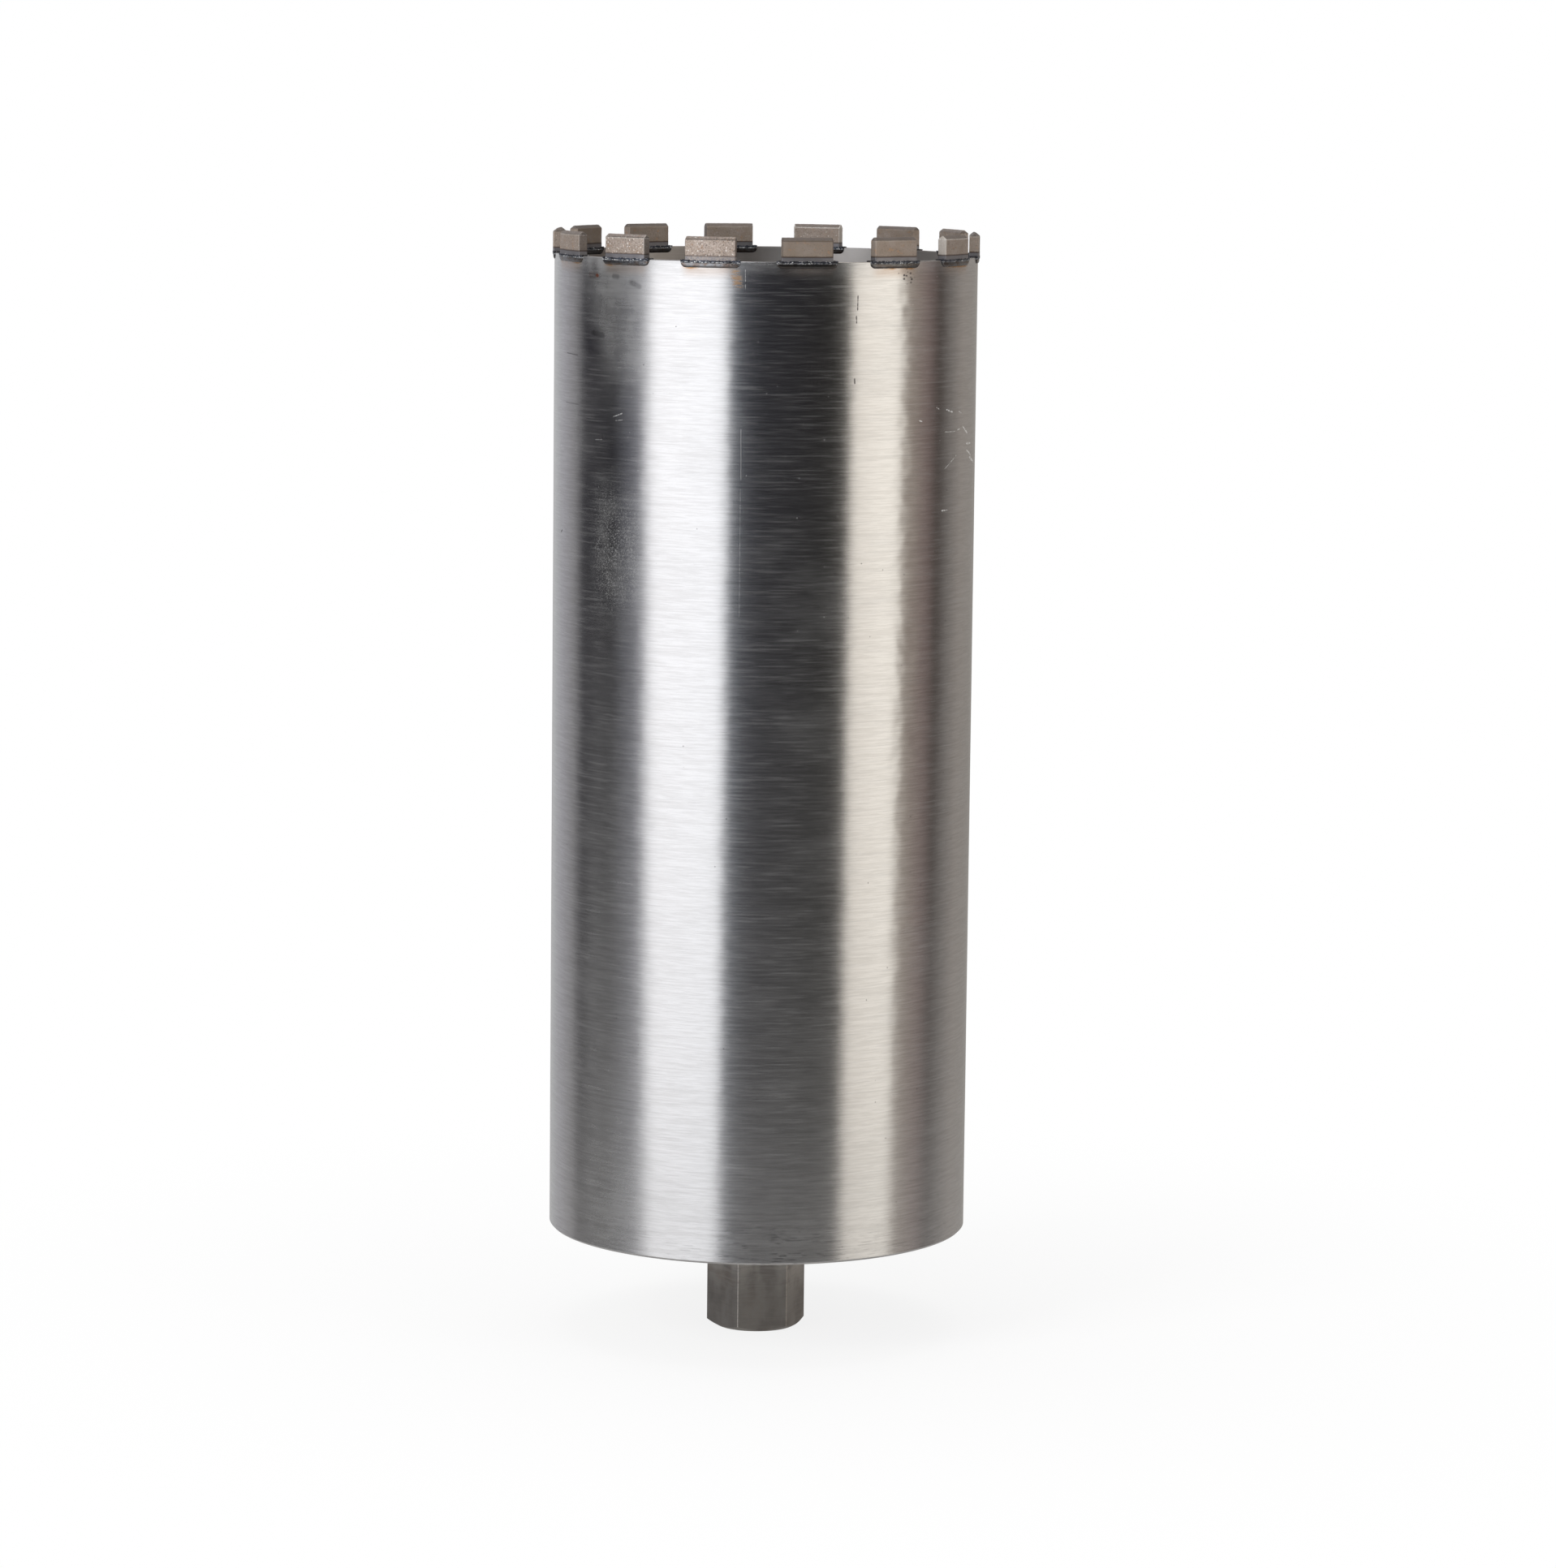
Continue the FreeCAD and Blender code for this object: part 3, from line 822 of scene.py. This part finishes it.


# How coarse each segment looks and how bright its edges are, both from 0 to 1: wear has smoothed
# some and left others sandy. The edges get a painted highlight on some and painted shade on others.
# Three are left without the painted shade on the end that faces the next segment.
coarseness = (0.0, 0.5, 0.2, 0.45, 0.3, 0.1, 0.0, 0.4, 0.42, 0.85, 1.0, 0.1, 0.18, 0.33)
edge_highlights = (0.6, 0.3, 0.4, 1.0, 0.5, 0.4, 0.3, 0.5, 0.6, 0.7, 0.4, 0.1, 0.5, 1.0)
ends_left_unshaded = (5, 6, 7)
segment_master = fine_skin(curved_block(segment_outline, segment_length), segment_voxel, 1)
for number in range(segment_count):
    segment_mesh = set_round(segment_master, number)
    for vert in segment_mesh.verts:
        if vert.co.z > rim_z + base_layer:
            grit = noise.noise(vert.co / grit_size) + 0.5 * noise.noise(vert.co / (grit_size * 3))
            vert.co -= vert.normal * grit_depth * (grit + 0.6)
    label = f"{number + 1:02d}"
    segment = new_piece("cutting_segment_" + label, segment_mesh, [matrix], sharp_degrees=180)
    segment.color = (coarseness[number], edge_highlights[number], number in ends_left_unshaded, 1)
    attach(segment, "root")
    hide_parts("segment_" + label)
segment_master.free()

# Braze collars: filler melted into the corner round each segment's foot, outside, inside
# and over the rim. It froze as a lumpy bead with a smooth lower lip, went blue-black where
# the flame touched it, and kept lumpy crusts along its upper edge, with painted sparkle on
# them and a painted highlight line along their lower edge.
collar_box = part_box("braze_collar_01")
collar_overhang = 0.0023
collar_length = segment_length + 2 * collar_overhang
collar_low = collar_box[0].z
collar_high = collar_box[1].z
collar_corner = 0.0026
collar_voxel = 0.0002
lump_size = 0.0010
crust_depth = 0.00026
collar_reach = segment_radius + 0.00014
lip_depth = 0.00004
groove_z = rim_z - 0.00095

braze = Finish("blued_braze_metal")
braze_out = braze.vectors("LENGTH", braze.joined(braze.x, braze.y, 0), output=1)
blueing = braze.clouds((0.004, 0.004, 0.0020), start=(6, 6, 1), detail=3)
crumbs = braze.clouds((0.00080, 0.00080, 0.00060), start=(2, 8, 3), detail=4, roughness=0.7)
on_crust = braze.z.rise(groove_z - 0.0002, groove_z + 0.0002)
crust_shape, crust_lottery = braze.grains((0.00085, 0.00085, 0.00070))
crust_crowd = braze.clouds((0.003, 0.003, 0.002), start=(1, 7, 2), detail=2).rise(0.40, 0.62)
# Painted sparkle on the crust and a painted highlight line along its lower edge.
crust_sparkle = crust_lottery.rise(0.62, 0.70) * crust_shape.rise(0.50, 0.26) * on_crust * crust_crowd
crust_highlight = braze.z.bump_at(groove_z + 0.0003, 0.00045) * (0.35 + crust_crowd * 0.65)
crust_highlight = crust_highlight * crumbs.rise(0.46, 0.56)
outline_shade = braze_out.rise(barrel_radius + 0.00055, barrel_radius + 0.00025)
outline_shade = outline_shade * braze_out.rise(barrel_bore - 0.00055, barrel_bore - 0.00025)
soot = Field(braze, braze.nodes.new("ShaderNodeObjectInfo").outputs["Color"])
crust_colour = braze.mixed(blueing.rise(0.35, 0.65), (0.085, 0.098, 0.13), (0.045, 0.045, 0.052))
crust_colour = braze.mixed(crumbs.rise(0.50, 0.66) * 0.6, crust_colour, (0.26, 0.28, 0.33))
lip_colour = braze.mixed(blueing.rise(0.42, 0.60), (0.26, 0.262, 0.27), (0.19, 0.15, 0.13))
lip_colour = braze.mixed(soot * 0.85, lip_colour, (0.075, 0.068, 0.062))
crust_colour = braze.mixed(soot * 0.5, crust_colour, (0.045, 0.046, 0.052))
braze_colour = braze.mixed(on_crust, lip_colour, crust_colour)
braze_colour = braze.mixed(outline_shade * 0.75, braze_colour, (0.04, 0.036, 0.034))
shine = (crust_sparkle + crust_highlight).limited()
braze.set("Base Color", braze.mixed(shine, braze_colour, (0.86, 0.87, 0.88)))
braze.set("Metallic", 0.92 - shine * 0.5)
braze.set("Roughness", 0.20 + on_crust * 0.18 + blueing * 0.06)
braze.relief(crumbs * (0.15 + on_crust * 0.85) + shine * 0.5, 0.00012)

collar_outline = [
    (segment_inner - 0.00010, rim_z + 0.00055),
    (segment_radius + 0.00010, rim_z + 0.00055),
    (segment_radius + 0.00013, rim_z + 0.00010),
    (segment_radius + 0.00006, rim_z - 0.00055),
    (segment_radius - 0.00018, groove_z),
    (segment_radius - 0.00012, rim_z - 0.0015),
    (segment_radius - 0.00020, rim_z - 0.0022),
    (segment_radius - 0.00042, rim_z - 0.0027),
    (barrel_radius + 0.00018, rim_z - 0.0030),
    (barrel_bore - 0.00018, rim_z - 0.0030),
    (barrel_bore - 0.00045, rim_z - 0.0024),
    (segment_inner + 0.00012, rim_z - 0.0014),
    (segment_inner - 0.00012, rim_z),
]
collar_blank = curved_block(collar_outline, collar_length, steps=60)
for vert in collar_blank.verts:
    from_end = max(0, collar_length / 2 - abs(math.atan2(vert.co.y, vert.co.x)) * segment_radius)
    if from_end < collar_corner:
        lift = collar_corner - math.sqrt(collar_corner**2 - (collar_corner - from_end) ** 2)
        vert.co.z += lift * (collar_high - vert.co.z) / (collar_high - collar_low)

# How much soot each collar carries, from 0 to 1, in the order of the segments.
sootiness = (0.5, 0.4, 0.5, 0.1, 0.4, 0.5, 0.6, 0.5, 0.3, 0.2, 0.0, 1.0, 0.8, 0.4)
collar_master = fine_skin(collar_blank, collar_voxel, 1)
for number in range(segment_count):
    collar_mesh = set_round(collar_master, number)
    for vert in collar_mesh.verts:
        lump = noise.noise(vert.co / lump_size) + 0.5 * noise.noise(vert.co / (lump_size / 3))
        depth = crust_depth if vert.co.z > groove_z else lip_depth
        vert.co -= vert.normal * depth * (0.4 + lump)
        excess = max(1, vert.co.xy.length / collar_reach)
        vert.co.x /= excess
        vert.co.y /= excess
    label = f"{number + 1:02d}"
    collar = new_piece("braze_bead_" + label, collar_mesh, [braze], sharp_degrees=180)
    collar.color = (sootiness[number],) * 3 + (1,)
    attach(collar, "root")
    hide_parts("braze_collar_" + label)
collar_master.free()

# Studio floor: a pale table top that takes the soft shadow under the bit and fades to the
# white of the background further out. The barrel sees the tent below, not the floor.
scene = bpy.context.scene
scene.view_settings.view_transform = "Standard"
floor_radius = 9
floor_mesh = bpy.data.meshes.new("floor")
floor_bmesh = bmesh.new()
bmesh.ops.create_circle(floor_bmesh, cap_ends=True, segments=96, radius=floor_radius)
floor_bmesh.to_mesh(floor_mesh)
floor_bmesh.free()
floor = bpy.data.objects.new("floor", floor_mesh)
scene.collection.objects.link(floor)
floor.visible_glossy = False
table_top = Finish("pale_table_top", Roughness=0.8)
table_top.set("Base Color", (0.88, 0.88, 0.88))
table_nodes = table_top.nodes
white = table_nodes.new("ShaderNodeEmission")
white.inputs["Color"].default_value = (1, 1, 1, 1)
seen_white = table_nodes.new("ShaderNodeMixShader")
far_out = table_top.vectors("LENGTH", table_top.place, output=1).rise(0.10, 0.55)
camera_ray = Field(table_top, table_nodes.new("ShaderNodeLightPath").outputs["Is Camera Ray"])
table_top.feed(seen_white.inputs[0], camera_ray * (far_out * 0.16 + 0.84))
table_top.links.new(table_top.shader.outputs[0], seen_white.inputs[1])
table_top.links.new(white.outputs[0], seen_white.inputs[2])
table_top.links.new(seen_white.outputs[0], table_nodes["Material Output"].inputs["Surface"])
floor_mesh.materials.append(table_top.material)

# Background: white to the camera and to anything glossy, and a softer grey light to all
# else, so that it fills the shadows without washing them out.
grey_light = 0.55
world = bpy.data.worlds.new("studio")
scene.world = world
world.use_nodes = True
world_nodes = world.node_tree.nodes
world_links = world.node_tree.links
background = world_nodes["Background"]
background.inputs["Color"].default_value = (1, 1, 1, 1)
ray = world_nodes.new("ShaderNodeLightPath")
seen = world_nodes.new("ShaderNodeMath")
seen.operation = "MAXIMUM"
world_links.new(ray.outputs["Is Camera Ray"], seen.inputs[0])
world_links.new(ray.outputs["Is Glossy Ray"], seen.inputs[1])
level = world_nodes.new("ShaderNodeMapRange")
level.inputs["To Min"].default_value = grey_light
level.inputs["To Max"].default_value = 1.0
world_links.new(seen.outputs[0], level.inputs["Value"])
world_links.new(level.outputs[0], background.inputs["Strength"])

# Light tent: the ring of cloth, softboxes and black cards round the table that the brushed
# steel mirrors. Each card is an angle from the camera's side and how bright it looks.
tent_radius = 3.0
tent_low, tent_high = -2.5, 3.5
card_swing = 2.6 / 360
white_left, white_left_reach = 0.328, 0.083
white_right = (0.389, 0.439)
cream_right = (0.64, 0.71)
low_card_shade = 0.055
table_share = 0.87
table_tone = (0.45, 0.44, 0.43)
tent_cards = [
    (-180, (0.500, 0.475, 0.485)),
    (-158, (0.560, 0.572, 0.585)),
    (-140, (0.470, 0.465, 0.501)),
    (-124, (0.325, 0.320, 0.334)),
    (-114, (0.039, 0.038, 0.046)),
    (-88, (0.015, 0.015, 0.020)),
    (-79, (0.115, 0.118, 0.140)),
    (-71, (0.200, 0.205, 0.240)),
    (-62, (1.660, 1.666, 1.720)),
    (-22, (1.650, 1.672, 1.740)),
    (-17, (0.120, 0.135, 0.165)),
    (-9, (0.040, 0.043, 0.056)),
    (0, (0.014, 0.015, 0.022)),
    (34, (0.004, 0.004, 0.004)),
    (44.6, (0.030, 0.028, 0.026)),
    (49.6, (1.280, 1.200, 1.090)),
    (76, (1.500, 1.424, 1.303)),
    (82, (0.430, 0.372, 0.315)),
    (98, (0.256, 0.191, 0.177)),
    (108, (0.073, 0.059, 0.052)),
    (120, (0.248, 0.226, 0.211)),
    (134, (0.375, 0.339, 0.309)),
    (160, (0.330, 0.308, 0.283)),
    (180, (0.400, 0.378, 0.360)),
]
tent_bmesh = bmesh.new()
bmesh.ops.create_cone(
    tent_bmesh,
    cap_ends=True,
    segments=96,
    radius1=tent_radius,
    radius2=tent_radius,
    depth=tent_high - tent_low,
    matrix=Matrix.Translation((0, 0, (tent_high + tent_low) / 2)),
)
tent_mesh = bpy.data.meshes.new("light_tent")
tent_bmesh.to_mesh(tent_mesh)
tent_bmesh.free()
tent = bpy.data.objects.new("light_tent", tent_mesh)
scene.collection.objects.link(tent)
tent.visible_camera = False
tent.visible_diffuse = False
tent.visible_transmission = False
tent.visible_shadow = False
cloth = Finish("tent_cloth")
card_angle = cloth.calculate("ARCTAN2", cloth.x, 0 - cloth.y) * (0.5 / math.pi) + 0.5

# Lower down, the white card on the left narrows from both sides and the cream card on the right
# swings towards it. All cards darken a little there, until the pale table takes over.
swing_left = card_angle.rise(*white_right) * 0.7 + card_angle.rise(*cream_right) * 0.3
swing_right = card_angle.bump_at(white_left, white_left_reach)
swing = cloth.z.rise(0.35, -0.75) * card_swing * (swing_left - swing_right)
card_ramp = cloth.nodes.new("ShaderNodeValToRGB")
cloth.feed(card_ramp.inputs[0], card_angle + swing)
stops = card_ramp.color_ramp.elements
stops.remove(stops[1])
stops[0].color = (*tent_cards[0][1], 1)
for degrees, tone in tent_cards[1:]:
    stops.new(degrees / 360 + 0.5).color = (*tone, 1)
lower_cards = cloth.z.rise(0.20, -0.10)
table_bounce = cloth.z.rise(0.0, -1.5)
cards = Field(cloth, card_ramp.outputs[0])
cards = cloth.mixed(lower_cards * low_card_shade, cards, (0, 0, 0))
cards = cloth.mixed(table_bounce * table_share, cards, table_tone)
glow = cloth.nodes.new("ShaderNodeEmission")
cloth.feed(glow.inputs["Color"], cards)
cloth.links.new(glow.outputs[0], cloth.nodes["Material Output"].inputs["Surface"])
tent_mesh.materials.append(cloth.material)

# Lamps: one large softbox to the left of the camera, a weaker one to the right and a top light.
# They light the grit, the floor and the dull films, and the tent gives the steel its bands.
lamp_aim = Vector((0, 0, 0.28))


def softbox(name, place, size, power):
    lamp = bpy.data.lights.new(name, "AREA")
    lamp.shape = "SQUARE"
    lamp.size = size
    lamp.energy = power
    holder = bpy.data.objects.new(name, lamp)
    holder.location = place
    holder.rotation_euler = (lamp_aim - Vector(place)).to_track_quat("-Z", "Y").to_euler()
    holder.visible_glossy = False
    scene.collection.objects.link(holder)


softbox("left_softbox", (-1.5, -1.6, 1.3), 1.1, 34)
softbox("right_softbox", (1.8, -1.0, 1.0), 0.8, 6)
softbox("top_softbox", (0, 0.2, 2.2), 1.4, 12)

# Camera: a long lens a little above the rim, as in the photograph. The places and angles are
# those at which the rim, the sides and the foot of the bit fall where they do there.
picture_long_side = 1932
focal_pixels = 6817
camera_distance = 2.6039
camera_height = 0.6093
camera_pitch = math.radians(7.612)
camera_yaw = math.radians(0.179)
camera_roll = math.radians(0.616)
lens = bpy.data.cameras.new("camera")
lens.sensor_width = 36
lens.lens = 36 * focal_pixels / picture_long_side
camera = bpy.data.objects.new("camera", lens)
forward = Vector(
    (
        math.sin(camera_yaw) * math.cos(camera_pitch),
        math.cos(camera_yaw) * math.cos(camera_pitch),
        -math.sin(camera_pitch),
    )
)
level_right = Vector((math.cos(camera_yaw), -math.sin(camera_yaw), 0))
level_up = level_right.cross(forward)
right = level_right * math.cos(camera_roll) + level_up * math.sin(camera_roll)
upward = level_up * math.cos(camera_roll) - level_right * math.sin(camera_roll)
turn_matrix = Matrix((right, upward, -forward)).transposed()
camera.location = (0, -camera_distance, camera_height)
camera.rotation_euler = turn_matrix.to_euler()
scene.collection.objects.link(camera)
scene.camera = camera
